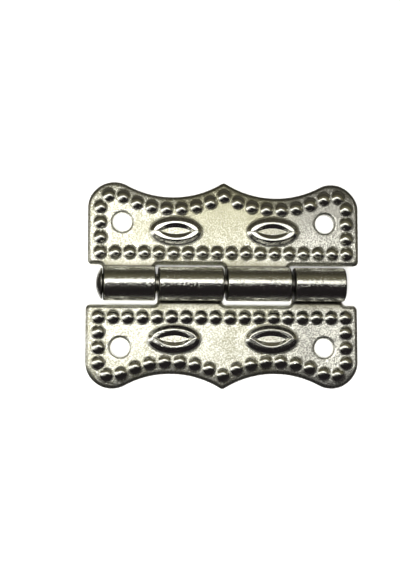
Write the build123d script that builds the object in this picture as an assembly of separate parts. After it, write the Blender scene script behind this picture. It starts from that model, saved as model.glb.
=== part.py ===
from build123d import *
from math import asin, cos, degrees, pi, sin, sqrt
import os

# A small stamped box hinge, lying open and flat with its embossed face up.
# The origin is under the middle of the pin, on the plane of the two leaves' backs.
# X runs along the pin, Y towards the upper leaf and Z out of the embossed face. Sizes are in millimetres.

# Leaf
leaf_width = 30.0           # along the pin
leaf_reach = 11.35          # from the pin's axis to the top of the corner lobes
inner_edge = 2.22           # from the pin's axis to the leaf's edge beside the barrel
sheet = 0.75                # thickness of the steel
lobe_radius = 2.9           # outer corners
scallop_radius = 10.5       # the two hollows of the outer edge
scallop_depth = 1.6         # from the top of the lobes down to the hollows
peak_rounding = 0.45        # the point between the two hollows
corner_rounding = 0.5       # corners beside the barrel
notch_rounding = 0.45       # where a knuckle's tab runs into the leaf
edge_droop = 0.2            # how far the rim of the front face falls away
edge_width = 0.35           # of that rim

# Screw holes
hole_diameter = 2.1
hole_rim = 2.7              # across the sunk edge in the front face
hole_sink = 0.17            # depth of that edge
hole_inset = 3.75           # from the leaf's side to the middle of a hole
hole_reach = 6.9            # from the pin's axis

# Barrel
pin_diameter = 2.1
pin_clearance = 0.05        # all round the pin
barrel_setback = 1.65       # from the leaf's side to the barrel's end
middle_knuckle = 7.11       # length of a leaf's knuckle beside the middle of the barrel
knuckle_gap = 0.32          # between neighbouring knuckles
leaf_stagger = 0.2          # how far the lower leaf has slid along the pin, to the left of the upper one
knuckle_bevel = 0.2         # outer edges of the knuckles' ends
seam_gap = 0.08             # between the rolled end of the sheet and its own leaf

# Pin
head_diameter = 3.35
head_rim = 0.15             # straight edge of the head, under its dome
head_dome = 0.55
dome_bands = 2              # cones that make up the dome
head_clearance = 0.08       # under the head
tail_recess = 0.1           # from the last knuckle's end to the pin's plain end
tail_chamfer = 0.15

# Beads along the border
bead_diameter = 1.53
bead_height = 0.4
bead_pitch = 1.61
bead_inset = 1.36           # from the outline to the middle of a bead
bead_row = 3.56             # from the pin's axis to the row beside the barrel
bead_sides = 8              # facets round a bead
bead_shoulder = 0.6         # share of its radius where a bead's two rings of facets meet

# Hollows that the embossing leaves in the back
dimple_diameter = 1.15
dimple_depth = 0.33
dimple_sides = 6
hollow_length = 4.8         # behind an eye motif
hollow_width = 2.3
hollow_depth = 0.3
hollow_slope = 60.0         # of its walls, in degrees from upright

# Raised eye motifs
eye_spacing = 10.72         # between the two of a leaf
eye_reach = 5.95            # from the pin's axis
eye_length = 5.95
eye_width = 3.35
eye_height = 0.4
eye_crest_length = 4.6
eye_crest_width = 1.95
pupil_length = 3.85         # pointed hollow within the crest
pupil_width = 1.65
pupil_floor_length = 3.3
pupil_floor_width = 0.67
pupil_floor = 0.15          # above the leaf's face

bore_radius = pin_diameter / 2 + pin_clearance
barrel_radius = bore_radius + sheet
middle_start = (knuckle_gap - leaf_stagger) / 2
middle_end = middle_start + middle_knuckle
end_start = middle_end + knuckle_gap + leaf_stagger
barrel_end = leaf_width / 2 - barrel_setback
knuckles = [(-barrel_end, -end_start), (middle_start, middle_end)]


def outer_edge(inset, start):
    """Right half of the leaf's edge, moved in by inset: the side, the corner lobe and the hollow."""
    lobe = Vector(leaf_width / 2 - lobe_radius, leaf_reach - lobe_radius)
    hollow_y = leaf_reach - scallop_depth + scallop_radius
    hollow_x = lobe.X - sqrt((lobe_radius + scallop_radius) ** 2 - (hollow_y - lobe.Y) ** 2)
    hollow = Vector(hollow_x, hollow_y)
    meet = lobe + (hollow - lobe).normalized() * (lobe_radius - inset)
    peak = (0, hollow_y - sqrt((scallop_radius + inset) ** 2 - hollow_x ** 2))
    side = Line((leaf_width / 2 - inset, start), (leaf_width / 2 - inset, lobe.Y))
    lobe_arc = TangentArc(side @ 1, meet, tangent=side % 1)
    hollow_arc = TangentArc(lobe_arc @ 1, peak, tangent=lobe_arc % 1)
    return Curve() + [side, lobe_arc, hollow_arc]


def blank():
    """The flat sheet before it is embossed and rolled: the leaf and the tabs of its knuckles."""
    half = outer_edge(0, inner_edge)
    bottom = Line((-leaf_width / 2, inner_edge), (leaf_width / 2, inner_edge))
    outline = make_face(half + mirror(half, about=Plane.YZ) + bottom)
    peak = outline.vertices().sort_by_distance((0, leaf_reach))[0]
    outline = fillet(peak, peak_rounding)
    outline = fillet(outline.vertices().group_by(Axis.Y)[0], corner_rounding)
    for start, end in knuckles:
        outline += Pos((start + end) / 2, inner_edge / 2) * Rectangle(end - start, inner_edge)
    tab_sides = [x for span in knuckles for x in span]
    roots = [outline.vertices().sort_by_distance((x, inner_edge))[0] for x in tab_sides]
    outline = fillet(roots, notch_rounding)
    plate = extrude(outline, sheet)
    rim = [e for e in plate.edges().group_by(Axis.Z)[-1] if e.center().Y > 0]
    return chamfer(rim, edge_droop, edge_width, reference=plate.faces().sort_by(Axis.Z)[-1])


def curl(start, end):
    """The sheet rolled round the pin, from under it, up the far side and over to its own leaf's face."""
    strip = Pos((start + end) / 2, sheet / 2) * Rectangle(end - start, sheet)
    strip = chamfer(strip.vertices().group_by(Axis.Y)[0], knuckle_bevel)
    rolled_end = asin((sheet + seam_gap) / barrel_radius - 1)
    roll = Axis((0, 0, barrel_radius), (-1, 0, 0))
    return revolve(Plane.XZ * strip, axis=roll, revolution_arc=270 - degrees(rolled_end))


def bead_places():
    """Middles of the beads: even steps along the row by the barrel, and from its ends up to the peak."""
    corner = leaf_width / 2 - bead_inset
    row_steps = round(2 * corner / bead_pitch)
    row = [(-corner + 2 * corner * i / row_steps, bead_row) for i in range(1, row_steps)]
    border = Wire(outer_edge(bead_inset, bead_row).edges())
    border_steps = round(border.length / bead_pitch)
    right = [border @ (i / border_steps) for i in range(border_steps + 1)]
    left = [(-p.X, p.Y) for p in right[:-1]]
    return row + [(p.X, p.Y) for p in right] + left


def faceted_cap(diameter, height, sides, rings):
    """A spherical cap on the plane z = 0, in flat facets between rings at the given shares of its radius."""
    foot = diameter / 2
    sphere = (foot ** 2 + height ** 2) / (2 * height)
    levels = []
    for share in rings:
        level = sqrt(sphere ** 2 - (share * foot) ** 2) - sphere + height
        turns = [2 * pi * i / sides for i in range(sides)]
        levels.append([Vector(share * foot * cos(t), share * foot * sin(t), level) for t in turns])
    tip = Vector(0, 0, height)
    faces = [Face(Wire.make_polygon(levels[0]))]
    for low, high in zip(levels, levels[1:]):
        faces += [Face(Wire.make_polygon([low[i - 1], low[i], high[i], high[i - 1]])) for i in range(sides)]
    top = levels[-1]
    faces += [Face(Wire.make_polygon([top[i - 1], top[i], tip])) for i in range(sides)]
    return Part() + Solid(Shell(faces))


def pointed_oval(length, width, height):
    """Two equal arcs that meet in a point at each end."""
    top = ThreePointArc((-length / 2, 0), (0, width / 2), (length / 2, 0))
    return Pos(0, 0, height) * make_face(top + mirror(top, about=Plane.XZ))


def eye():
    """A sloping oval ridge round a pointed hollow, standing on the plane z = 0."""
    foot = Ellipse(eye_length / 2, eye_width / 2)
    crest = Pos(0, 0, eye_height) * Ellipse(eye_crest_length / 2, eye_crest_width / 2)
    floor = pointed_oval(pupil_floor_length, pupil_floor_width, pupil_floor)
    rim = pointed_oval(pupil_length, pupil_width, eye_height)
    return loft([foot, crest]) - loft([floor, rim])


def eye_hollow():
    """The hollow that an eye motif leaves in the back."""
    return extrude(pointed_oval(hollow_length, hollow_width, 0), hollow_depth, taper=hollow_slope)


def leaf():
    """The upper leaf, with its knuckles."""
    body = blank() + [curl(start, end) for start, end in knuckles]
    places = bead_places()
    bead = faceted_cap(bead_diameter, bead_height, bead_sides, rings=(1, bead_shoulder))
    dimple = faceted_cap(dimple_diameter, dimple_depth, dimple_sides, rings=(1,))
    body += [Pos(x, y, sheet) * bead for x, y in places]
    body -= [Pos(x, y, 0) * dimple for x, y in places]
    for side in (-1, 1):
        place = Pos(side * eye_spacing / 2, eye_reach)
        body += place * Pos(0, 0, sheet) * eye()
        body -= place * eye_hollow()
        hole = Pos(side * (leaf_width / 2 - hole_inset), hole_reach)
        body -= hole * Pos(0, 0, sheet / 2) * Cylinder(hole_diameter / 2, 2 * sheet)
        body -= hole * Pos(0, 0, sheet - hole_sink / 2) * Cone(hole_diameter / 2, hole_rim / 2, hole_sink)
    return body


def pin():
    """A plain pin with a domed head at its left end."""
    under_head = -barrel_end + leaf_stagger / 2 - head_clearance
    tail = barrel_end - leaf_stagger / 2 - tail_recess
    radius = pin_diameter / 2
    rim = under_head - head_rim
    profile = Line((rim - head_dome, 0), (tail, 0))
    profile += Polyline((tail, 0), (tail, radius - tail_chamfer), (tail - tail_chamfer, radius),
                        (under_head, radius), (under_head, head_diameter / 2), (rim, head_diameter / 2))
    dome_radius = ((head_diameter / 2) ** 2 + head_dome ** 2) / (2 * head_dome)
    dome = RadiusArc((rim, head_diameter / 2), (rim - head_dome, 0), -dome_radius)
    profile += Polyline([dome @ (i / dome_bands) for i in range(dome_bands + 1)])
    return Pos(0, 0, barrel_radius) * revolve(make_face(profile), axis=Axis.X)


stamping = leaf()
nodes = {
    "upper_leaf": Pos(leaf_stagger / 2, 0, 0) * stamping,
    "lower_leaf": Pos(-leaf_stagger / 2, 0, 0) * Rot(0, 0, 180) * stamping,
    "hinge_pin": pin(),
}

os.makedirs("parts", exist_ok=True)
for name, solid in nodes.items():
    export_step(solid, f"parts/{name}.step")
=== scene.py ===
from math import asin, atan2, ceil, cos, hypot, pi, radians, sin, sqrt
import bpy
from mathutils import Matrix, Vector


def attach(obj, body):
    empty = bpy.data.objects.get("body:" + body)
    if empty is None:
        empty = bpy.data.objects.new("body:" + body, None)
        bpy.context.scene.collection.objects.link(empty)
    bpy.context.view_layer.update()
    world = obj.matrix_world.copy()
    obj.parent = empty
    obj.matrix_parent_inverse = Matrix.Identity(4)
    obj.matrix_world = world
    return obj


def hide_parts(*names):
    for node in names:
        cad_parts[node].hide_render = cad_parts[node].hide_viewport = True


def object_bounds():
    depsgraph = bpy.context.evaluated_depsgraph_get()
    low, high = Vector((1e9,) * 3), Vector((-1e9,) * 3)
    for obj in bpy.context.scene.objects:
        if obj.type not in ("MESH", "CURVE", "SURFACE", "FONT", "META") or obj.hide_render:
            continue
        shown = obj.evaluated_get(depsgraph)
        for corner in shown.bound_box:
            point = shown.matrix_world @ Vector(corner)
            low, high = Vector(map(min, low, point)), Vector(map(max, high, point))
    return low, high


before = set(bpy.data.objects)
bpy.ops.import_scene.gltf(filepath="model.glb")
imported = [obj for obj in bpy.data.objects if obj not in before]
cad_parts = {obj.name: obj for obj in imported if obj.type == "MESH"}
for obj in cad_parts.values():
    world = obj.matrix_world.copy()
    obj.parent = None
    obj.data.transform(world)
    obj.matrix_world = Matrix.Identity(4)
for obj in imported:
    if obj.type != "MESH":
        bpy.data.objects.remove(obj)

from types import SimpleNamespace

import bmesh
import bpy
import numpy as np
from bpy.props import FloatProperty, FloatVectorProperty, PointerProperty
from bpy.types import Operator, Panel, PropertyGroup
from mathutils import Matrix, Quaternion, Vector
from mathutils.geometry import delaunay_2d_cdt

bl_info = {
    "name": "Flower hinge",
    "version": (1, 0, 0),
    "blender": (4, 5, 0),
    "location": "View3D > Sidebar > Hinge",
    "description": "Dresses a small stamped box hinge with beaded borders and raised eye motifs",
    "category": "Object",
}

cad_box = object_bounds()

# Meshing, with lengths in millimetres
hole_sides = 64         # points round a screw hole
pin_sides = 72          # points round the pin
roll_steps = 104        # rows round a knuckle
bevel_points = 6        # points on the rounded edge of a knuckle's end
back_edge = 0.05        # rounding of the back's edges
rolled_edge = 0.09      # rounding of the sheet's rolled end
rim_rows = (0.02, 0.05, 0.09, 0.14, 0.20, 0.27, 0.36, 0.46)     # rows of points within the front's edge
back_rows = (0.13,)                                             # and within the back's
weld = 2e-7             # points closer than this become one, in metres
sharp_edge = 48         # edges that turn by more degrees than this stay sharp

# Rings of points on a bead and on the hollow behind it: share of its radius, and count
bead_section = ((0.14, 8), (0.30, 14), (0.46, 20), (0.62, 24), (0.76, 28), (0.88, 32), (0.98, 32), (1.06, 32))
dimple_section = ((0.25, 8), (0.5, 14), (0.75, 18), (0.95, 20), (1.12, 20))

# A hole's sunk edge: share of the way from the bore out to the rim, and share of the sink
hole_section = ((1.0, 0.01), (0.8, 0.05), (0.6, 0.16), (0.4, 0.36), (0.2, 0.64), (0.06, 0.9), (0.0, 1.2))

# Polish values of the points: 1 is bright, 0 is satin and -1 is painted dark, as shade between neighbouring
# knuckles.
gap_shade, satin_face, bright_face = -1.0, 0.0, 1.0
worn_edge, hole_edge, pin_face = 0.25, 0.3, 0.7
pin_satin, pin_polish = 0.34, 0.2       # roughness of the pin where it is satin and where it is bright

# Camera, in pixels of the photograph, metres and radians
photo_height = 570
focal_pixels = 1306.92
sensor_width = 36.0         # in millimetres
camera_place = (-0.01535, -0.01315, 0.14317)
camera_turn = (0.0916, -0.0892, 0.0031)

# Lamps: name, place, size, power and whether the metal's gloss shows them
lamps = (
    ("fill_lamp", (-0.03, -0.12, 0.40), 0.20, 0.95, False),
    ("window_lamp", (-0.14, -0.10, 0.38), 0.12, 0.70, False),
    ("key_lamp", (-0.045, 0.066, 0.42), 0.05, 0.50, True),
)
lamp_colour = (1.0, 0.99, 0.94)
plain_white = (1, 1, 1, 1)


def length(name, description, millimetres):
    return FloatProperty(name=name, description=description, default=millimetres / 1000, min=0,
                         unit="LENGTH", precision=5)


def share(name, description, default):
    return FloatProperty(name=name, description=description, default=default, min=0, max=1, subtype="FACTOR")


def tint(name, description, default):
    return FloatVectorProperty(name=name, description=description, default=default, min=0, max=4,
                               size=3, subtype="COLOR")


class LeafSizes(PropertyGroup):
    """The stamped sheet of one leaf."""
    width: length("Width", "Along the pin", 30.0)
    reach: length("Reach", "From the pin's axis to the top of the corner lobes", 11.35)
    inner_edge: length("Inner edge", "From the pin's axis to the leaf's edge beside the barrel", 2.22)
    sheet: length("Sheet", "Thickness of the steel", 0.75)
    lobe_radius: length("Lobe radius", "Outer corners", 2.9)
    scallop_radius: length("Scallop radius", "The two hollows of the outer edge", 10.5)
    scallop_depth: length("Scallop depth", "From the lobes' tops down to the hollows", 1.6)
    peak_rounding: length("Peak rounding", "The point between the two hollows", 0.45)
    corner_rounding: length("Corner rounding", "Corners beside the barrel", 0.5)
    notch_rounding: length("Notch rounding", "Where a knuckle's tab runs into the leaf", 0.45)
    droop: length("Droop", "How far the scalloped edge bends down", 0.29)
    droop_width: length("Droop width", "Of the bent border", 1.45)
    edge_radius: length("Edge radius", "Rounding of the front face's rim", 0.30)
    edge_depth: length("Edge depth", "How far the rim falls", 0.22)
    stagger: length("Stagger", "How far the lower leaf has slid along the pin", 0.2)
    hole_diameter: length("Hole diameter", "Through the leaf", 2.1)
    hole_rim: length("Hole rim", "Across the sunk edge of a hole", 2.7)
    hole_sink: length("Hole sink", "Depth of that edge", 0.17)
    hole_inset: length("Hole inset", "From the leaf's side to a hole's middle", 3.75)
    hole_reach: length("Hole reach", "From the pin's axis to a hole's middle", 6.9)


class EmbossSizes(PropertyGroup):
    """The beads and the eye motifs."""
    bead_diameter: length("Bead diameter", "At the bead's foot", 1.53)
    bead_height: length("Bead height", "Above the leaf's face", 0.4)
    bead_pitch: length("Bead pitch", "Between neighbouring beads", 1.61)
    bead_inset: length("Bead inset", "From the outline to a bead's middle", 1.36)
    bead_row: length("Bead row", "From the pin's axis to the row beside the barrel", 3.56)
    dimple_diameter: length("Dimple diameter", "Hollow behind a bead", 1.15)
    dimple_depth: length("Dimple depth", "Of the hollow behind a bead", 0.33)
    eye_spacing: length("Eye spacing", "Between the two eyes of a leaf", 10.72)
    eye_reach: length("Eye reach", "From the pin's axis", 5.95)
    eye_length: length("Eye length", "At its foot", 5.95)
    eye_width: length("Eye width", "At its foot", 3.35)
    eye_height: length("Eye height", "Above the leaf's face", 0.4)
    crest_length: length("Crest length", "Of the eye's ridge", 4.8)
    crest_width: length("Crest width", "Of the eye's ridge", 2.06)
    pupil_length: length("Pupil length", "Pointed hollow within the ridge", 3.85)
    pupil_width: length("Pupil width", "Pointed hollow within the ridge", 1.7)
    floor_length: length("Floor length", "Of the hollow's flat floor", 3.3)
    floor_width: length("Floor width", "Of the hollow's flat floor", 0.67)
    pupil_floor: length("Pupil floor", "Above the leaf's face", 0.15)
    hollow_length: length("Hollow length", "Behind an eye", 4.8)
    hollow_width: length("Hollow width", "Behind an eye", 2.3)
    hollow_depth: length("Hollow depth", "Behind an eye", 0.3)


class BarrelSizes(PropertyGroup):
    """The rolled knuckles and the pin."""
    pin_diameter: length("Pin diameter", "The shaft", 2.1)
    pin_clearance: length("Pin clearance", "All round the pin", 0.05)
    setback: length("Barrel setback", "From the leaf's side to the barrel's end", 1.65)
    middle_knuckle: length("Middle knuckle", "Length of the knuckle beside the middle", 7.11)
    knuckle_gap: length("Knuckle gap", "Between neighbouring knuckles", 0.32)
    knuckle_bevel: length("Knuckle bevel", "Rounded edges of the knuckles' ends", 0.2)
    seam_gap: length("Seam gap", "Between the rolled end and its own leaf", 0.08)
    head_diameter: length("Head diameter", "Of the pin", 3.35)
    head_rim: length("Head rim", "Straight edge under the dome", 0.15)
    head_dome: length("Head dome", "Height of the dome", 0.55)
    head_clearance: length("Head clearance", "Under the head", 0.08)
    tail_recess: length("Tail recess", "From the last knuckle's end to the pin's end", 0.1)
    tail_chamfer: length("Tail chamfer", "At the pin's plain end", 0.15)


class FinishSettings(PropertyGroup):
    """The metal's colours, with the colours of its painted shade, and its polish."""
    nickel: tint("Nickel", "Plating of the leaves", (0.86, 0.86, 0.795))
    # The tarnish colour serves both as real stains and as painted shade over the upper leaf's far half.
    tarnish_and_shade: tint("Tarnish", "Warm film on the plating", (0.47, 0.458, 0.335))
    # Painted shade: this greyer, darker colour takes over the film towards the pin's tail.
    tail_haze_and_shade: tint("Haze", "Grey film towards the pin's tail", (0.35, 0.343, 0.317))
    # Painted shade on the faces beside the barrel.
    barrel_shade_colour: tint("Grime", "Where no hand wipes, beside the barrel", (0.28, 0.268, 0.19))
    # Painted shade: this dark colour goes on the knuckles' ends, along the barrel's foot and on the barrel's
    # lower flanks.
    painted_shade_colour: tint("Oil", "Dark film between the knuckles", (0.05, 0.046, 0.042))
    steel: tint("Steel", "Of the pin", (0.40, 0.39, 0.37))
    satin: share("Satin", "Roughness of the flat faces", 0.40)
    polish: share("Polish", "Roughness of the raised ornament and the barrel", 0.15)


class StageSettings(PropertyGroup):
    """Floor and light."""
    floor: tint("Floor", "Colour of the floor", (0.93, 0.93, 0.93))
    window: tint("Window", "Soft strip of light overhead", (1.50, 1.48, 1.39))
    wall: tint("Wall", "Warm wall behind", (0.150, 0.138, 0.088))
    shade: tint("Shade", "Dark room in front", (0.014, 0.012, 0.013))
    ground: tint("Ground", "Foot of the tent", (0.85, 0.84, 0.80))
    tent_radius: length("Tent radius", "Of the tent that the metal reflects", 70.0)


def millimetres(group):
    """The group's lengths, in millimetres."""
    return SimpleNamespace(**{name: getattr(group, name) * 1000 for name in type(group).__annotations__})


def smooth(values, low, high):
    """0 below low, 1 above high and a soft step between them."""
    t = np.clip((values - low) / (high - low), 0, 1)
    return t * t * (3 - 2 * t)


def line(a, b, step=0.12):
    """Even points on a straight run."""
    count = max(1, ceil(hypot(b[0] - a[0], b[1] - a[1]) / step))
    return np.linspace(a, b, count + 1)


def arc(centre, radius, start, end, step=0.09):
    """Even points on an arc."""
    count = max(4, ceil(abs(end - start) * radius / step))
    turns = np.linspace(start, end, count + 1)
    return np.stack([centre[0] + radius * np.cos(turns), centre[1] + radius * np.sin(turns)], 1)


class Outline:
    """The leaf's edge seen from above, anticlockwise, with outward directions and how much it bends down."""

    def __init__(self, leaf, barrel):
        self.knuckles = knuckle_spans(leaf, barrel)
        half, inner, turn, notch = leaf.width / 2, leaf.inner_edge, leaf.corner_rounding, leaf.notch_rounding
        inner_runs = [arc((turn - half, inner + turn), turn, pi, 1.5 * pi)]
        last = turn - half
        for start, end in self.knuckles:
            inner_runs += [
                line((last, inner), (start - notch, inner)),
                arc((start - notch, inner - notch), notch, pi / 2, 0),
                line((start, inner - notch), (start, 0)),
                line((start, 0), (end, 0)),
                line((end, 0), (end, inner - notch)),
                arc((end + notch, inner - notch), notch, pi, pi / 2),
            ]
            last = end + notch
        inner_runs.append(line((last, inner), (half - turn, inner)))
        inner_runs.append(arc((half - turn, inner + turn), turn, 1.5 * pi, 2 * pi))
        lobe, hollow = scallop_centres(leaf)
        inner_runs.append(line((half, inner + turn), (half, lobe[1])))
        towards = atan2(hollow[1] - lobe[1], hollow[0] - lobe[0])
        reach = leaf.scallop_radius + leaf.peak_rounding
        peak = (0, hollow[1] - sqrt(reach ** 2 - hollow[0] ** 2))
        rise = atan2(hollow[1] - peak[1], hollow[0])
        right = [arc(lobe, leaf.lobe_radius, 0, towards),
                 arc(hollow, leaf.scallop_radius, towards - pi, rise - pi),
                 arc(peak, leaf.peak_rounding, rise, pi / 2)]
        runs = [(False, run) for run in inner_runs]
        runs += [(True, run) for run in right]
        runs += [(True, run[::-1] * (-1, 1)) for run in reversed(right)]
        runs.append((False, line((-half, lobe[1]), (-half, inner + turn))))
        points, scalloped = [], []
        for bends, run in runs:
            points += list(run[:-1])
            scalloped += [bends] * (len(run) - 1)
        self.points = np.array(points)
        tangent = np.roll(self.points, -1, 0) - np.roll(self.points, 1, 0)
        tangent /= np.linalg.norm(tangent, axis=1)[:, None]
        self.normals = np.stack([tangent[:, 1], -tangent[:, 0]], 1)
        self.on_tab = self.points[:, 1] < 1e-9
        self.normals[self.on_tab] = (0, -1)
        self.bend = np.where(scalloped, smooth(self.normals[:, 1], 0.1, 0.8), 0)

    def nearest(self, places):
        """Distance from each place to the edge, and how much the edge there bends down."""
        distance, bend, batch = [], [], 3000
        for start in range(0, len(places), batch):
            chunk = places[start:start + batch]
            squares = ((chunk[:, None, :] - self.points[None]) ** 2).sum(2)
            index = squares.argmin(1)
            distance.append(np.sqrt(squares[np.arange(len(chunk)), index]))
            bend.append(self.bend[index])
        return np.concatenate(distance), np.concatenate(bend)

    def inside(self, places):
        """Which places lie within the edge."""
        a, b = self.points, np.roll(self.points, -1, 0)
        odd = np.zeros(len(places), bool)
        for (ax, ay), (bx, by) in zip(a, b):
            if ay != by:
                crosses = (ay > places[:, 1]) != (by > places[:, 1])
                odd ^= crosses & (places[:, 0] < (bx - ax) * (places[:, 1] - ay) / (by - ay) + ax)
        return odd


def knuckle_spans(leaf, barrel):
    """Start and end along the pin of the upper leaf's two knuckles."""
    middle = (barrel.knuckle_gap - leaf.stagger) / 2
    end = leaf.width / 2 - barrel.setback
    start = middle + barrel.middle_knuckle + barrel.knuckle_gap + leaf.stagger
    return [(-end, -start), (middle, middle + barrel.middle_knuckle)]


def scallop_centres(leaf):
    """Centres of the right lobe and the right hollow."""
    lobe = (leaf.width / 2 - leaf.lobe_radius, leaf.reach - leaf.lobe_radius)
    hollow_y = leaf.reach - leaf.scallop_depth + leaf.scallop_radius
    across = sqrt((leaf.lobe_radius + leaf.scallop_radius) ** 2 - (hollow_y - lobe[1]) ** 2)
    return lobe, (lobe[0] - across, hollow_y)


def bead_places(leaf, emboss):
    """Middles of the beads: even steps along the row by the barrel, and from its ends up to the peak."""
    corner = leaf.width / 2 - emboss.bead_inset
    steps = round(2 * corner / emboss.bead_pitch)
    row = [(-corner + 2 * corner * i / steps, emboss.bead_row) for i in range(1, steps)]
    lobe, hollow = scallop_centres(leaf)
    towards = atan2(hollow[1] - lobe[1], hollow[0] - lobe[0])
    outer = leaf.scallop_radius + emboss.bead_inset
    foot = (0, hollow[1] - sqrt(outer ** 2 - hollow[0] ** 2))
    border = np.vstack([
        line((corner, emboss.bead_row), (corner, lobe[1]), 0.02)[:-1],
        arc(lobe, leaf.lobe_radius - emboss.bead_inset, 0, towards, 0.01)[:-1],
        arc(hollow, outer, towards - pi, atan2(foot[1] - hollow[1], -hollow[0]), 0.02),
    ])
    run = np.r_[0, np.cumsum(np.linalg.norm(np.diff(border, axis=0), axis=1))]
    count = round(run[-1] / emboss.bead_pitch)
    marks = np.linspace(0, run[-1], count + 1)
    right = np.stack([np.interp(marks, run, border[:, 0]), np.interp(marks, run, border[:, 1])], 1)
    return np.vstack([row, right, right[:-1] * (-1, 1)])


def eye_places(emboss):
    """Middles of a leaf's two eyes."""
    return np.array([(side * emboss.eye_spacing / 2, emboss.eye_reach) for side in (-1, 1)])


def hole_places(leaf):
    """Middles of a leaf's two screw holes."""
    return np.array([(side * (leaf.width / 2 - leaf.hole_inset), leaf.hole_reach) for side in (-1, 1)])


def positive(values, soft):
    """The values where they are above 0, and 0 elsewhere. soft is the square of the turn's width."""
    return (values + np.sqrt(values ** 2 + soft)) / 2


def lower(a, b, soft):
    """The lower of a and b. soft is the square of the turn's width."""
    return (a + b - np.sqrt((a - b) ** 2 + soft)) / 2


def cap_height(distance, foot, height, soft):
    """A domed cap with a soft foot, over the plane z = 0."""
    ball = (foot ** 2 + height ** 2) / (2 * height)
    rise = np.sqrt(np.maximum(ball ** 2 - distance ** 2, 0)) - ball + height
    return positive(rise, soft ** 2) * (1 - smooth(distance, foot, foot * 1.17))


def lens_depth(x, y, length, width):
    """How far a point lies within a pointed oval."""
    radius = (length ** 2 + width ** 2) / (4 * width)
    return radius - np.sqrt(x ** 2 + (np.abs(y) + radius - width / 2) ** 2)


def lens_half(x, length, width):
    """Half the width of a pointed oval at each x, and 0 beyond its points."""
    radius = (length ** 2 + width ** 2) / (4 * width)
    return np.maximum(np.sqrt(np.maximum(radius ** 2 - x ** 2, 0)) - radius + width / 2, 0)


def eye_rise(x, y, emboss):
    """The eye's ridge round its pointed hollow, over the plane z = 0."""
    turn = np.arctan2(y, x)
    spread = np.hypot(x, y)
    foot = 1 / np.hypot(np.cos(turn) / (emboss.eye_length / 2), np.sin(turn) / (emboss.eye_width / 2))
    crest = 1 / np.hypot(np.cos(turn) / (emboss.crest_length / 2), np.sin(turn) / (emboss.crest_width / 2))
    ridge = emboss.eye_height * 1.06        # where the slopes would meet if the crest weren't rounded
    climb = (foot - spread) / (foot - crest)
    outside = positive(ridge * climb, 0.004) * smooth(foot * 1.12 - spread, 0, foot * 0.12)
    mouth = lens_half(x, emboss.pupil_length, emboss.pupil_width)
    bed = lens_half(x, emboss.floor_length, emboss.floor_width)
    beyond = np.maximum(np.abs(x) - emboss.pupil_length / 2, 0)
    up_wall = (np.abs(y) - bed) / np.maximum(mouth - bed, 0.06) + beyond / 0.3
    floor = emboss.pupil_floor
    inside = floor + positive((ridge - floor) * up_wall, 0.0009)
    return lower(lower(outside, inside, 0.035 ** 2), emboss.eye_height, 0.0004)


def add_caps(height, places, centres, diameter, rise, soft):
    """Raises the height to a domed cap over each centre."""
    for x, y in centres:
        away = np.hypot(places[:, 0] - x, places[:, 1] - y)
        near = away < diameter
        height[near] = np.maximum(height[near], cap_height(away[near], diameter / 2, rise, soft))


def front_height(places, outline, leaf, emboss):
    """Height of the embossed face, and how far wear has polished each place."""
    distance, bend = outline.nearest(places)
    height = np.full(len(places), leaf.sheet)
    height -= leaf.droop * bend * (np.clip(1 - distance / leaf.droop_width, 0, 1)) ** 2
    # The rounded rim is wider beside the barrel and runs out on the tabs.
    wide = 1.3 - 0.3 * smooth(places[:, 1], leaf.inner_edge + 0.3, leaf.inner_edge + 1.5)
    free = smooth(places[:, 1], 0.0, 0.6)
    lip = np.clip(1 - distance / (leaf.edge_radius * wide), 0, 1)
    height -= leaf.edge_depth * wide * lip ** 1.35 * free
    proud = np.zeros(len(places))
    add_caps(proud, places, bead_places(leaf, emboss), emboss.bead_diameter, emboss.bead_height, soft=0.045)
    for x, y in eye_places(emboss):
        u, v = places[:, 0] - x, places[:, 1] - y
        near = np.hypot(u / emboss.eye_length, v / emboss.eye_width) < 0.6
        proud[near] = np.maximum(proud[near], eye_rise(u[near], v[near], emboss))
    # Wear polishes what stands proud, but not the floors of the eyes.
    shine = smooth(proud, 0.02, 0.16)
    for x, y in eye_places(emboss):
        bed = lens_half(places[:, 0] - x, emboss.floor_length, emboss.floor_width)
        shine *= 1 - smooth(bed - np.abs(places[:, 1] - y), -0.05, 0.08)
    return height + proud, np.maximum(shine, worn_edge * smooth(lip, 0.05, 0.4) * free)


def back_height(places, leaf, emboss):
    """Height of the back, with the hollows that the embossing leaves."""
    height = np.zeros(len(places))
    add_caps(height, places, bead_places(leaf, emboss), emboss.dimple_diameter, emboss.dimple_depth, soft=0.03)
    for x, y in eye_places(emboss):
        u, v = places[:, 0] - x, places[:, 1] - y
        depth = lens_depth(u, v, emboss.hollow_length, emboss.hollow_width)
        height = np.maximum(height, emboss.hollow_depth * smooth(depth, 0, 0.55))
    return height


def ring(centre, radius, count, phase=0.0):
    """Even points on a circle."""
    turns = np.linspace(0, 2 * pi, count, endpoint=False) + phase
    return np.stack([centre[0] + radius * np.cos(turns), centre[1] + radius * np.sin(turns)], 1)


def lattice(low, high, step):
    """An even triangular lattice of points over a box."""
    xs = np.arange(low[0], high[0], step)
    ys = np.arange(low[1], high[1], step * sqrt(3) / 2)
    x, y = np.meshgrid(xs, ys)
    x[1::2] += step / 2
    return np.stack([x.ravel(), y.ravel()], 1)


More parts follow.
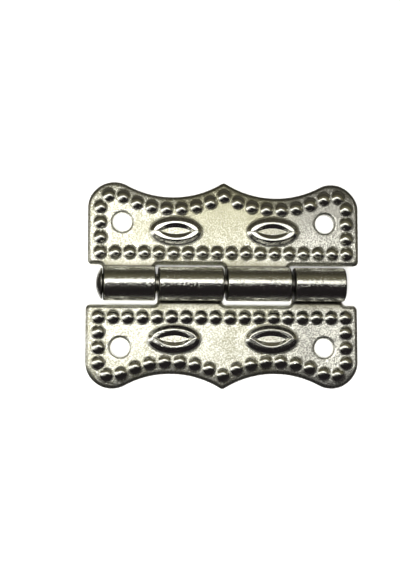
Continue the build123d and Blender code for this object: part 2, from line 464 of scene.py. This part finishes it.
def fill_points(outline, leaf, emboss, rows, bead_rings, eye_step, step, rim):
    """Points within the outline and outside the holes' rim, close together where the face is embossed."""
    beads, eyes, holes = bead_places(leaf, emboss), eye_places(emboss), hole_places(leaf)
    groups = []
    for inset in rows:
        row = (outline.points - outline.normals * inset)[~outline.on_tab]
        distance, _ = outline.nearest(row)
        groups.append(row[(distance > inset * 0.97) & outline.inside(row) & (row[:, 1] > 0.02)])
    for centre in beads:
        groups.append(centre[None])
        for i, (radius, count) in enumerate(bead_rings):
            groups.append(ring(centre, radius, count, phase=i * pi / count))
    half = np.array((emboss.eye_length, emboss.eye_width)) * 0.565      # of the patch on an eye
    for centre in eyes:
        patch = lattice(centre - half, centre + half, eye_step)
        groups.append(patch[np.hypot(*((patch - centre) / half).T) < 1])
    for centre in holes:
        groups += [ring(centre, rim + grow, hole_sides, phase=i * pi / hole_sides)
                   for i, grow in enumerate((0.07, 0.16))]
    open_field = lattice((-leaf.width / 2, 0.06), (leaf.width / 2, leaf.reach), step)
    distance, _ = outline.nearest(open_field)
    keep = outline.inside(open_field) & (distance > rows[-1] + 0.06)
    for centre in beads:
        keep &= np.hypot(*(open_field - centre).T) > bead_rings[-1][0] + 0.05
    for centre in eyes:
        keep &= np.hypot(*((open_field - centre) / half).T) > 1.03
    for centre in holes:
        keep &= np.hypot(*(open_field - centre).T) > rim + 0.22
    groups.append(open_field[keep])
    return np.vstack(groups)


def triangulate(loop, hole_loops, places, holes, rim):
    """Triangles between the outline and the holes through all the places. The loops' points come first."""
    start = [loop] + hole_loops
    edges, count = [], 0
    for points in start:
        edges += [(count + i, count + (i + 1) % len(points)) for i in range(len(points))]
        count += len(points)
    flat = np.vstack(start + [places])
    _, _, faces, origin, _, _ = delaunay_2d_cdt([Vector(p) for p in flat], edges, [], 1, 1e-5)
    names = [o[0] for o in origin]
    triangles = np.array([[names[i] for i in face] for face in faces])
    middle = flat[triangles].mean(1)
    keep = np.ones(len(triangles), bool)
    for centre in holes:
        keep &= np.hypot(*(middle - centre).T) > rim * 0.998
    return flat, triangles[keep]


def add_object(name, data):
    """A new object of the scene that shows the given mesh, lamp or camera."""
    made = bpy.data.objects.new(name, data)
    bpy.context.scene.collection.objects.link(made)
    return made


class Shell:
    """Points, faces and a polish value for each point, gathered piece by piece."""

    def __init__(self):
        self.points, self.faces, self.polish = [], [], []

    def add(self, points, polish):
        """Takes points with their polish, and returns their numbers."""
        first = len(self.points)
        self.points += [tuple(p) for p in points]
        self.polish += list(np.broadcast_to(np.asarray(polish, float), len(points)))
        return list(range(first, first + len(points)))

    def band(self, low, high, closed=True, skip=()):
        """Quads between two rows of points of the same length."""
        count = len(low)
        for i in range(count if closed else count - 1):
            if i not in skip:
                j = (i + 1) % count
                self.faces.append((low[i], low[j], high[j], high[i]))

    def build(self, name, matrix):
        """The gathered points as a smooth mesh object, in metres."""
        mesh = bpy.data.meshes.new(name)
        mesh.from_pydata([matrix @ Vector(p) / 1000 for p in self.points], [], self.faces)
        layer = mesh.attributes.new("polish", "FLOAT", "POINT")
        layer.data.foreach_set("value", self.polish)
        work = bmesh.new()
        work.from_mesh(mesh)
        bmesh.ops.remove_doubles(work, verts=work.verts, dist=weld)
        bmesh.ops.recalc_face_normals(work, faces=work.faces)
        work.to_mesh(mesh)
        work.free()
        mesh.polygons.foreach_set("use_smooth", [True] * len(mesh.polygons))
        mesh.set_sharp_from_angle(angle=radians(sharp_edge))
        mesh.update()
        return add_object(name, mesh)


def stamp_plate(shell, outline, leaf, emboss):
    """The flat part of a leaf: embossed front, hollowed back, edges and screw holes."""
    holes = hole_places(leaf)
    mouth = leaf.hole_rim / 2 + 0.04
    bead_rings = [(emboss.bead_diameter / 2 * part, count) for part, count in bead_section]
    places = fill_points(outline, leaf, emboss, rim_rows, bead_rings, eye_step=0.07, step=0.17, rim=mouth)
    hole_loops = [ring(centre, mouth, hole_sides) for centre in holes]
    flat, triangles = triangulate(outline.points, hole_loops, places, holes, mouth)
    height, polish = front_height(flat, outline, leaf, emboss)
    front = shell.add(np.c_[flat, height], polish)
    shell.faces += [tuple(front[i] for i in t) for t in triangles]

    tab = outline.on_tab
    bottom = leaf.hole_diameter / 2 + back_edge
    back_rings = [(emboss.dimple_diameter / 2 * part, count) for part, count in dimple_section]
    back_loop = outline.points - outline.normals * back_edge * (~tab)[:, None]
    places = fill_points(outline, leaf, emboss, back_rows, back_rings, eye_step=0.14, step=0.34, rim=bottom)
    hole_loops = [ring(centre, bottom, hole_sides) for centre in holes]
    flat, triangles = triangulate(back_loop, hole_loops, places, holes, bottom)
    polish = 1 - smooth(flat[:, 1], 0.0, leaf.inner_edge)
    back = shell.add(np.c_[flat, back_height(flat, leaf, emboss)], polish)
    shell.faces += [tuple(back[i] for i in t[::-1]) for t in triangles]

    # The wall leaves out the tabs' edges, where the knuckles join on.
    count = len(outline.points)
    skip = {i for i in range(count) if tab[i] and tab[(i + 1) % count]}
    foot = shell.add(np.c_[outline.points, np.where(tab, 0.0, back_edge)], worn_edge)
    shell.band(back[:count], foot, skip=skip)
    shell.band(foot, front[:count], skip=skip)
    for i, centre in enumerate(holes):
        own = slice(count + hole_sides * i, count + hole_sides * (i + 1))
        line_hole(shell, centre, front[own], back[own], leaf)


def line_hole(shell, centre, mouth, bottom, leaf):
    """The wall of a screw hole, from its mouth in the front, over the sunk edge and down to the back."""
    bore, rim = leaf.hole_diameter / 2, leaf.hole_rim / 2
    levels = [(bore + (rim - bore) * out, leaf.sheet - leaf.hole_sink * depth) for out, depth in hole_section]
    levels.append((bore, back_edge))
    above = mouth
    for radius, level in levels:
        below = shell.add(np.c_[ring(centre, radius, hole_sides), np.full(hole_sides, level)], hole_edge)
        shell.band(below, above)
        above = below
    shell.band(bottom, above)


def roll_knuckle(shell, start, end, leaf, barrel):
    """The sheet rolled round the pin, from under it, up the far side and over to its own leaf's face."""
    bore = barrel.pin_diameter / 2 + barrel.pin_clearance
    outer = bore + leaf.sheet
    finish = asin((leaf.sheet + barrel.seam_gap) / outer - 1)
    along = line((start, 0), (end, 0))[:, 0]
    quarter = np.linspace(0, pi / 2, bevel_points)
    rows = []
    for i in range(roll_steps + 1):
        turned = i / roll_steps
        turn = -pi / 2 - turned * (1.5 * pi - finish)
        bevel = barrel.knuckle_bevel * float(smooth(np.array(turned), 0.0, 0.06))
        tuck = rolled_edge * max(0.0, (i - roll_steps + 2) / 2) ** 2
        # Two points divide an end face in three. In the first row, which meets the tab, they lie on its edge.
        third = min(i, 1) / 3
        inside = [(x, bore + tuck) for x in along]
        right = [(end, bore + (leaf.sheet - bevel) * s + tuck * (1 - s)) for s in (third, 2 * third)]
        right += [(end - bevel + bevel * cos(t), outer - tuck - bevel + bevel * sin(t)) for t in quarter]
        top = [(min(max(x, start + bevel), end - bevel), outer - tuck) for x in along[-2:0:-1]]
        left = [(start + bevel - bevel * sin(t), outer - tuck - bevel + bevel * cos(t)) for t in quarter]
        left += [(start, bore + (leaf.sheet - bevel) * s + tuck * (1 - s)) for s in (2 * third, third)]
        section = inside + right + top + left
        rows.append([(x, r * cos(turn), outer + r * sin(turn)) for x, r in section])
    # Polish round a knuckle's end: its end face is painted dark as shade, and its rounded edge runs from that up
    # to bright.
    wear = [gap_shade, gap_shade] + list(np.linspace(gap_shade, bright_face, bevel_points))
    polish = [satin_face] * len(along) + wear + [bright_face] * (len(along) - 2) + wear[::-1]
    ids = [shell.add(row, polish) for row in rows]
    for low, high in zip(ids, ids[1:]):
        shell.band(low, high)
    shell.faces.append(tuple(ids[-1]))


def turn_pin(leaf, barrel):
    """The pin's outline from its head's middle to its tail's middle: place along the pin, and radius."""
    half = leaf.width / 2 - barrel.setback
    under = -half + leaf.stagger / 2 - barrel.head_clearance
    rim = under - barrel.head_rim
    tail = half - leaf.stagger / 2 - barrel.tail_recess
    head, shaft = barrel.head_diameter / 2, barrel.pin_diameter / 2
    ball = (head ** 2 + barrel.head_dome ** 2) / (2 * barrel.head_dome)
    top, chamfer = rim - barrel.head_dome, barrel.tail_chamfer
    edge, corner, fillet = 0.05, 0.015, 0.04        # rounding of the head's lower edge and of its neck
    profile = [(top + ball * (1 - cos(t)), ball * sin(t)) for t in np.linspace(0, asin(head / ball), 15)[1:]]
    profile += [(rim + edge, head), (under - edge, head), (under - corner, head - corner), (under, head - edge)]
    profile += [(under, shaft + fillet), (under + fillet, shaft)]
    profile += [(x, shaft) for x in np.linspace(under + 0.3, tail - chamfer - 0.1, 40)]
    profile += [(tail - chamfer * (1 - sin(t)), shaft - chamfer * (1 - cos(t)))
                for t in np.linspace(0, pi / 2, 5)]
    return profile, top, tail


class Wire:
    """A shader socket. Arithmetic on it adds Math nodes to its tree."""

    def __init__(self, socket):
        self.socket = socket

    def math(self, operation, left, right):
        """A Math node in this socket's tree."""
        tree = self.socket.id_data
        node = tree.nodes.new("ShaderNodeMath")
        node.operation = operation
        for value, slot in ((left, node.inputs[0]), (right, node.inputs[1])):
            if isinstance(value, Wire):
                tree.links.new(value.socket, slot)
            else:
                slot.default_value = value
        return Wire(node.outputs[0])

    def __add__(self, other):
        return self.math("ADD", self, other)

    def __radd__(self, other):
        return self.math("ADD", other, self)

    def __sub__(self, other):
        return self.math("SUBTRACT", self, other)

    def __rsub__(self, other):
        return self.math("SUBTRACT", other, self)

    def __mul__(self, other):
        return self.math("MULTIPLY", self, other)

    def __rmul__(self, other):
        return self.math("MULTIPLY", other, self)

    def __abs__(self):
        return self.math("ABSOLUTE", self, 0.0)

    def angle(self, upright):
        """The angle away from upright, in radians."""
        return self.math("ARCTAN2", self, upright)


class Recipe:
    """A node tree under construction."""

    def __init__(self, tree):
        self.tree = tree
        tree.nodes.clear()

    def node(self, kind, settings=None, sockets=None, out=0):
        """Adds a node: its settings first, then the values or links of its sockets."""
        made = self.tree.nodes.new(kind)
        for name, value in (settings or {}).items():
            setattr(made, name, value)
        for name, value in (sockets or {}).items():
            if isinstance(value, Wire):
                self.tree.links.new(value.socket, made.inputs[name])
            else:
                made.inputs[name].default_value = value
        return Wire(made.outputs[out]) if made.outputs else None

    def step(self, value, low, high, start=0.0, end=1.0):
        """A soft step from start to end as value goes from low to high."""
        return self.node("ShaderNodeMapRange", {"interpolation_type": "SMOOTHSTEP"},
                         {"Value": value, "From Min": low, "From Max": high, "To Min": start, "To Max": end})

    def mix(self, factor, a, b):
        """A colour between a and b."""
        return self.node("ShaderNodeMix", {"data_type": "RGBA"}, {0: factor, 6: a, 7: b}, out=2)

    def noise(self, places, scale, detail=2.0, roughness=0.5):
        """Soft noise, with scale in waves per unit of places."""
        return self.node("ShaderNodeTexNoise", {}, {"Vector": places, "Scale": scale, "Detail": detail,
                                                    "Roughness": roughness})

    def place(self):
        """The object's own coordinates."""
        return self.node("ShaderNodeTexCoord", out="Object")

    def axes(self, vector):
        """The three parts of a vector."""
        split = self.node("ShaderNodeSeparateXYZ", {}, {0: vector})
        return [Wire(part) for part in split.socket.node.outputs]

    def surface(self, shader):
        """Ends a material with its shader."""
        self.node("ShaderNodeOutputMaterial", {}, {"Surface": shader})


def new_material(name):
    """An empty material, and the recipe that fills it."""
    material = bpy.data.materials.new(name)
    material.use_nodes = True
    return material, Recipe(material.node_tree)


def opaque(colour):
    """The colour with full alpha."""
    return (*colour, 1.0)


def metal(name, colour, finish, satin, polish):
    """Plated metal: satin where the polish value is 0, bright where it is 1 and painted dark as shade where it is
    -1.
    """
    material, r = new_material(name)
    place = r.node("ShaderNodeVectorMath", {"operation": "SCALE"}, {0: r.place(), "Scale": 1000.0})
    bright = r.node("ShaderNodeAttribute", {"attribute_name": "polish"}, out="Fac")
    dull = r.step(bright, 0.0, 1.0, 1.0, 0.0)
    grain = r.noise(place, 5.6, 2.0, 0.6)
    peel = r.noise(place, 1.5, 2.0, 0.5)
    cloud = r.noise(place, 0.28, 4.0, 0.62)
    specks = r.step(r.noise(place, 5.2, 2.0, 0.7), 0.66, 0.78)

    # Where a point lies, in millimetres: along the pin, across it and up
    along, across, lift = r.axes(place)
    aside = abs(across)
    on_face = r.step(lift, 0.3, 0.6)
    on_barrel = r.step(aside, 1.86, 2.0, 1.0, 0.0) * (1 - dull)
    # Painted shade on the faces beside the barrel, made uneven by the clouds.
    near_barrel_shade = r.step(aside, 1.7, 3.3, 1.0, 0.0) * on_face
    # Painted shadow: a dark band on the face right beside the barrel's foot.
    barrel_foot_shadow = r.step(aside, 2.0, 2.28, 0.9, 0.0) * dull * on_face
    # Painted shade: the barrel darkened low on its flanks, near the leaves.
    barrel_flank_shade = r.step(lift, 2.1, 2.9, 0.6, 0.0) * r.step(lift, 0.6, 1.5) * on_barrel
    # Painted shade over the upper leaf's faces away from the pin, except towards the pin's head.
    far_half_shade = r.step(across, 3.0, 8.5, 0.0, 0.85) * r.step(along, -9.0, -1.0)

    # Over the plating lie, in that order: a film of stains, specks and grain that also carries painted shade,
    # then painted shade beside the barrel, then dark painted shade on the knuckles' ends, at the barrel's foot
    # and on its flanks.
    stain = r.step(cloud, 0.44, 0.74, 0.0, 0.5)
    film = stain * (0.35 + 0.65 * dull) + specks * dull * 0.35 + far_half_shade * dull
    film = film + r.step(grain, 0.44, 0.58, 0.0, 0.75) * dull
    # Towards the pin's tail the film turns to the greyer, darker haze colour, as painted shade.
    stain_and_shade_colour = r.mix(r.step(along, 3.0, 10.0), opaque(finish.tarnish_and_shade), opaque(finish.tail_haze_and_shade))
    # Painted shade: dark on the knuckles' ends, in a band at the barrel's foot and on the barrel's lower flanks.
    painted_shade = r.step(bright, -0.9, -0.2, 1.0, 0.0) + barrel_foot_shadow + barrel_flank_shade
    base = r.mix(film, opaque(colour), stain_and_shade_colour)
    base = r.mix(near_barrel_shade * dull * (0.55 + 0.8 * cloud), base, opaque(finish.barrel_shade_colour))
    base = r.mix(painted_shade, base, opaque(finish.painted_shade_colour))

    rough = polish + (satin - polish) * dull + (cloud - 0.5) * 0.10 + (grain - 0.5) * dull * 0.16
    pits = r.step(grain, 0.54, 0.70) * on_barrel
    height = grain * (0.16 + 0.84 * dull) + pits * 0.13 + peel * 0.25
    bump = r.node("ShaderNodeBump", {}, {"Strength": 1.0, "Distance": 5.2e-5, "Height": height})
    r.surface(r.node("ShaderNodeBsdfPrincipled", {}, {"Base Color": base, "Metallic": 1.0, "Roughness": rough,
                                                      "Normal": bump}))
    return material


def seen_directly(r):
    """1 for rays that carry the background to the camera, straight or through the metal's gloss."""
    path = r.node("ShaderNodeLightPath")
    outs = path.socket.node.outputs
    total = Wire(outs["Is Camera Ray"]) + Wire(outs["Is Glossy Ray"]) + Wire(outs["Is Transmission Ray"])
    return r.node("ShaderNodeClamp", {}, {"Value": total})


class HINGE_OT_leaves(Operator):
    """Stamps the two leaves with their rolled knuckles"""
    bl_idname = "hinge.leaves"
    bl_label = "Leaves"

    def execute(self, context):
        scene = context.scene
        leaf, barrel = millimetres(scene.hinge_leaf), millimetres(scene.hinge_barrel)
        emboss = millimetres(scene.hinge_emboss)
        outline = Outline(leaf, barrel)
        shell = Shell()
        stamp_plate(shell, outline, leaf, emboss)
        for start, end in outline.knuckles:
            roll_knuckle(shell, start, end, leaf, barrel)
        finish = scene.hinge_finish
        nickel = metal("nickel_plate", finish.nickel, finish, finish.satin, finish.polish)
        for name, node, body, turn, side in (("upper_leaf_stamping", "upper_leaf", "moving_leaf", 0, 1),
                                             ("lower_leaf_stamping", "lower_leaf", "fixed_leaf", pi, -1)):
            slide = Matrix.Translation((side * leaf.stagger / 2, 0, 0)) @ Matrix.Rotation(turn, 4, "Z")
            piece = shell.build(name, slide)
            piece.data.materials.append(nickel)
            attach(piece, body)
            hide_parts(node)
        return {"FINISHED"}


class HINGE_OT_pin(Operator):
    """Turns the headed pin"""
    bl_idname = "hinge.pin"
    bl_label = "Pin"

    def execute(self, context):
        scene = context.scene
        leaf, barrel = millimetres(scene.hinge_leaf), millimetres(scene.hinge_barrel)
        profile, head, tail = turn_pin(leaf, barrel)
        axis = barrel.pin_diameter / 2 + barrel.pin_clearance + leaf.sheet
        turns = np.linspace(0, 2 * pi, pin_sides, endpoint=False)
        shell = Shell()
        rows = [shell.add([(x, r * cos(t), axis + r * sin(t)) for t in turns], pin_face) for x, r in profile]
        for low, high in zip(rows, rows[1:]):
            shell.band(low, high)
        for x, row in ((head, rows[0]), (tail, rows[-1])):
            middle = shell.add([(x, 0, axis)], pin_face)[0]
            shell.faces += [(row[i], row[(i + 1) % pin_sides], middle) for i in range(pin_sides)]
        piece = shell.build("headed_pin", Matrix.Identity(4))
        finish = scene.hinge_finish
        piece.data.materials.append(metal("pin_steel", finish.steel, finish, pin_satin, pin_polish))
        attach(piece, "fixed_leaf")
        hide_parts("hinge_pin")
        return {"FINISHED"}


def tent_shape(radius, sides=64, levels=16):
    """A half ball with a floor that is open where the hinge lies: its faces, and its points for a radius of 1."""
    points, faces = [], []
    turns = np.linspace(0, 2 * pi, sides, endpoint=False)
    for j in range(levels):
        lift = j / levels * pi / 2
        points += [(cos(lift) * cos(t), cos(lift) * sin(t), sin(lift)) for t in turns]
    for j in range(levels - 1):
        for i in range(sides):
            k = (i + 1) % sides
            faces.append((j * sides + i, j * sides + k, (j + 1) * sides + k, (j + 1) * sides + i))
    last, tip = (levels - 1) * sides, len(points)
    points.append((0, 0, 1))
    faces += [(last + i, last + (i + 1) % sides, tip) for i in range(sides)]
    opening = [part * high / radius for part, high in zip((1.01, 0.85), cad_box[1])]
    first = len(points)
    for x, y, _ in points[:sides]:
        scale = min(opening[0] / max(abs(x), 1e-6), opening[1] / max(abs(y), 1e-6))
        points.append((scale * x, scale * y, 0))
    faces += [(i, (i + 1) % sides, first + (i + 1) % sides, first + i) for i in range(sides)]
    return points, faces


class HINGE_OT_stage(Operator):
    """Sets the floor, the light and the camera"""
    bl_idname = "hinge.stage"
    bl_label = "Stage"

    def execute(self, context):
        scene, settings = context.scene, context.scene.hinge_stage
        scene.view_settings.view_transform = "Standard"
        self.floor(settings)
        self.tent(settings)
        self.sky(scene)
        for values in lamps:
            self.lamp(*values)
        self.camera(scene)
        return {"FINISHED"}

    def lamp(self, name, place, size, power, gloss):
        """A round lamp that points at the hinge."""
        lamp = bpy.data.lights.new(name, "AREA")
        lamp.shape, lamp.size, lamp.energy, lamp.color = "DISK", size, power, lamp_colour
        light = add_object(name, lamp)
        light.location = place
        light.rotation_euler = (-light.location).to_track_quat("-Z", "Y").to_euler()
        light.visible_glossy = gloss

    def floor(self, settings):
        """A pale floor just under the hinge, which turns plain white away from it."""
        mesh = bpy.data.meshes.new("floor")
        mesh.from_pydata([(-2, -2, 0), (2, -2, 0), (2, 2, 0), (-2, 2, 0)], [], [(0, 1, 2, 3)])
        floor = add_object("floor", mesh)
        floor.location.z = -2e-5
        material, r = new_material("pale_floor")
        matt = r.node("ShaderNodeBsdfDiffuse", {}, {"Color": opaque(settings.floor)})
        glow = r.node("ShaderNodeEmission", {}, {"Color": plain_white, "Strength": 0.12})
        white = r.node("ShaderNodeEmission", {}, {"Color": plain_white, "Strength": 1.0})
        lit = r.node("ShaderNodeAddShader", {}, {0: matt, 1: glow})
        away = r.node("ShaderNodeVectorMath", {"operation": "LENGTH"}, {0: r.place()}, out="Value")
        lit = r.node("ShaderNodeMixShader", {}, {0: r.step(away, 0.04, 0.16), 1: lit, 2: white})
        r.surface(r.node("ShaderNodeMixShader", {}, {0: seen_directly(r), 1: matt, 2: lit}))
        mesh.materials.append(material)

    def tent(self, settings):
        """A half ball over the hinge that only the metal's gloss sees."""
        mesh = bpy.data.meshes.new("studio_tent")
        points, faces = tent_shape(settings.tent_radius)
        mesh.from_pydata([Vector(p) * settings.tent_radius for p in points], [], faces)
        mesh.polygons.foreach_set("use_smooth", [True] * len(mesh.polygons))
        mesh.materials.append(self.tent_light(settings))
        tent = add_object("studio_tent", mesh)
        tent.location.z = -1e-5
        tent.visible_camera = tent.visible_diffuse = tent.visible_shadow = tent.visible_transmission = False

    def tent_light(self, settings):
        """What the gloss sees: an arched window overhead, a warm wall behind it and a dark room in front."""
        material, r = new_material("tent_light")
        x, y, z = r.axes(r.node("ShaderNodeVectorMath", {"operation": "NORMALIZE"}, {0: r.place()}))

        def turn(angle, low, high, start=0.0, end=1.0):
            """A soft step between two angles in degrees."""
            return r.step(angle, radians(low), radians(high), start, end)

        north, east = y.angle(z), x.angle(z)
        arch = north + east * east * 0.40 - radians(15)
        west = turn(east, -78, -34, 1.0, 0.0)
        band = turn(arch + west * radians(20), -13, -8) * turn(arch - west * radians(24), 7, 13, 1.0, 0.0)
        fall = turn(east, 3, 24, 1.0, 0.8) * turn(east, 36, 56, 1.0, 0.06)
        corner = turn(east, -36, -6, 1.0, 0.0) * turn(arch, -46, -14) * turn(arch, 0, 12, 1.0, 0.0)
        wall = turn(arch, 4, 14) * turn(north, 28, 74, 1.0, 0.24)
        colour = r.mix(wall, opaque(settings.shade), opaque(settings.wall))
        colour = r.mix(corner * 0.42, colour, opaque(settings.window))
        colour = r.mix(r.step(z, 0.0, 0.03, 0.03, 0.0), colour, opaque(settings.ground))
        colour = r.mix(band * fall, colour, opaque(settings.window))
        r.surface(r.node("ShaderNodeEmission", {}, {"Color": colour, "Strength": 1.0}))
        return material

    def sky(self, scene):
        """A background that is white where it is seen, and dimmer as a light."""
        world = bpy.data.worlds.new("studio")
        world.use_nodes = True
        scene.world = world
        r = Recipe(world.node_tree)
        strength = 0.26 + 0.74 * seen_directly(r)
        sky = r.node("ShaderNodeBackground", {}, {"Color": plain_white, "Strength": strength})
        r.node("ShaderNodeOutputWorld", {}, {"Surface": sky})

    def camera(self, scene):
        """The camera that took the photograph, as fitted to it."""
        lens = bpy.data.cameras.new("camera")
        lens.sensor_width = sensor_width
        lens.lens = focal_pixels / photo_height * sensor_width
        lens.clip_start, lens.clip_end = 0.005, 20
        camera = add_object("camera", lens)
        turn = Vector(camera_turn)
        camera.rotation_mode = "QUATERNION"
        camera.rotation_quaternion = Quaternion(turn.normalized(), turn.length)
        camera.location = camera_place
        scene.camera = camera


class HINGE_PT_panel(Panel):
    """Lists the hinge's pieces and sizes"""
    bl_idname = "HINGE_PT_panel"
    bl_label = "Flower hinge"
    bl_space_type = "VIEW_3D"
    bl_region_type = "UI"
    bl_category = "Hinge"

    def draw(self, context):
        layout = self.layout
        for operator in operators:
            layout.operator(operator.bl_idname)
        for name, (group, title) in groups.items():
            box = layout.box()
            box.label(text=title)
            settings = getattr(context.scene, name)
            for prop in group.__annotations__:
                box.prop(settings, prop)


groups = {
    "hinge_leaf": (LeafSizes, "Leaf"),
    "hinge_emboss": (EmbossSizes, "Embossing"),
    "hinge_barrel": (BarrelSizes, "Barrel and pin"),
    "hinge_finish": (FinishSettings, "Finish"),
    "hinge_stage": (StageSettings, "Stage"),
}
operators = (HINGE_OT_leaves, HINGE_OT_pin, HINGE_OT_stage)


def register():
    for group, _ in groups.values():
        bpy.utils.register_class(group)
    for operator in operators:
        bpy.utils.register_class(operator)
    bpy.utils.register_class(HINGE_PT_panel)
    for name, (group, _) in groups.items():
        setattr(bpy.types.Scene, name, PointerProperty(type=group))


def unregister():
    for name in groups:
        delattr(bpy.types.Scene, name)
    bpy.utils.unregister_class(HINGE_PT_panel)
    for operator in reversed(operators):
        bpy.utils.unregister_class(operator)
    for group, _ in reversed(list(groups.values())):
        bpy.utils.unregister_class(group)


def main():
    register()
    bpy.ops.hinge.leaves()
    bpy.ops.hinge.pin()
    bpy.ops.hinge.stage()


if __name__ == "__main__":
    main()
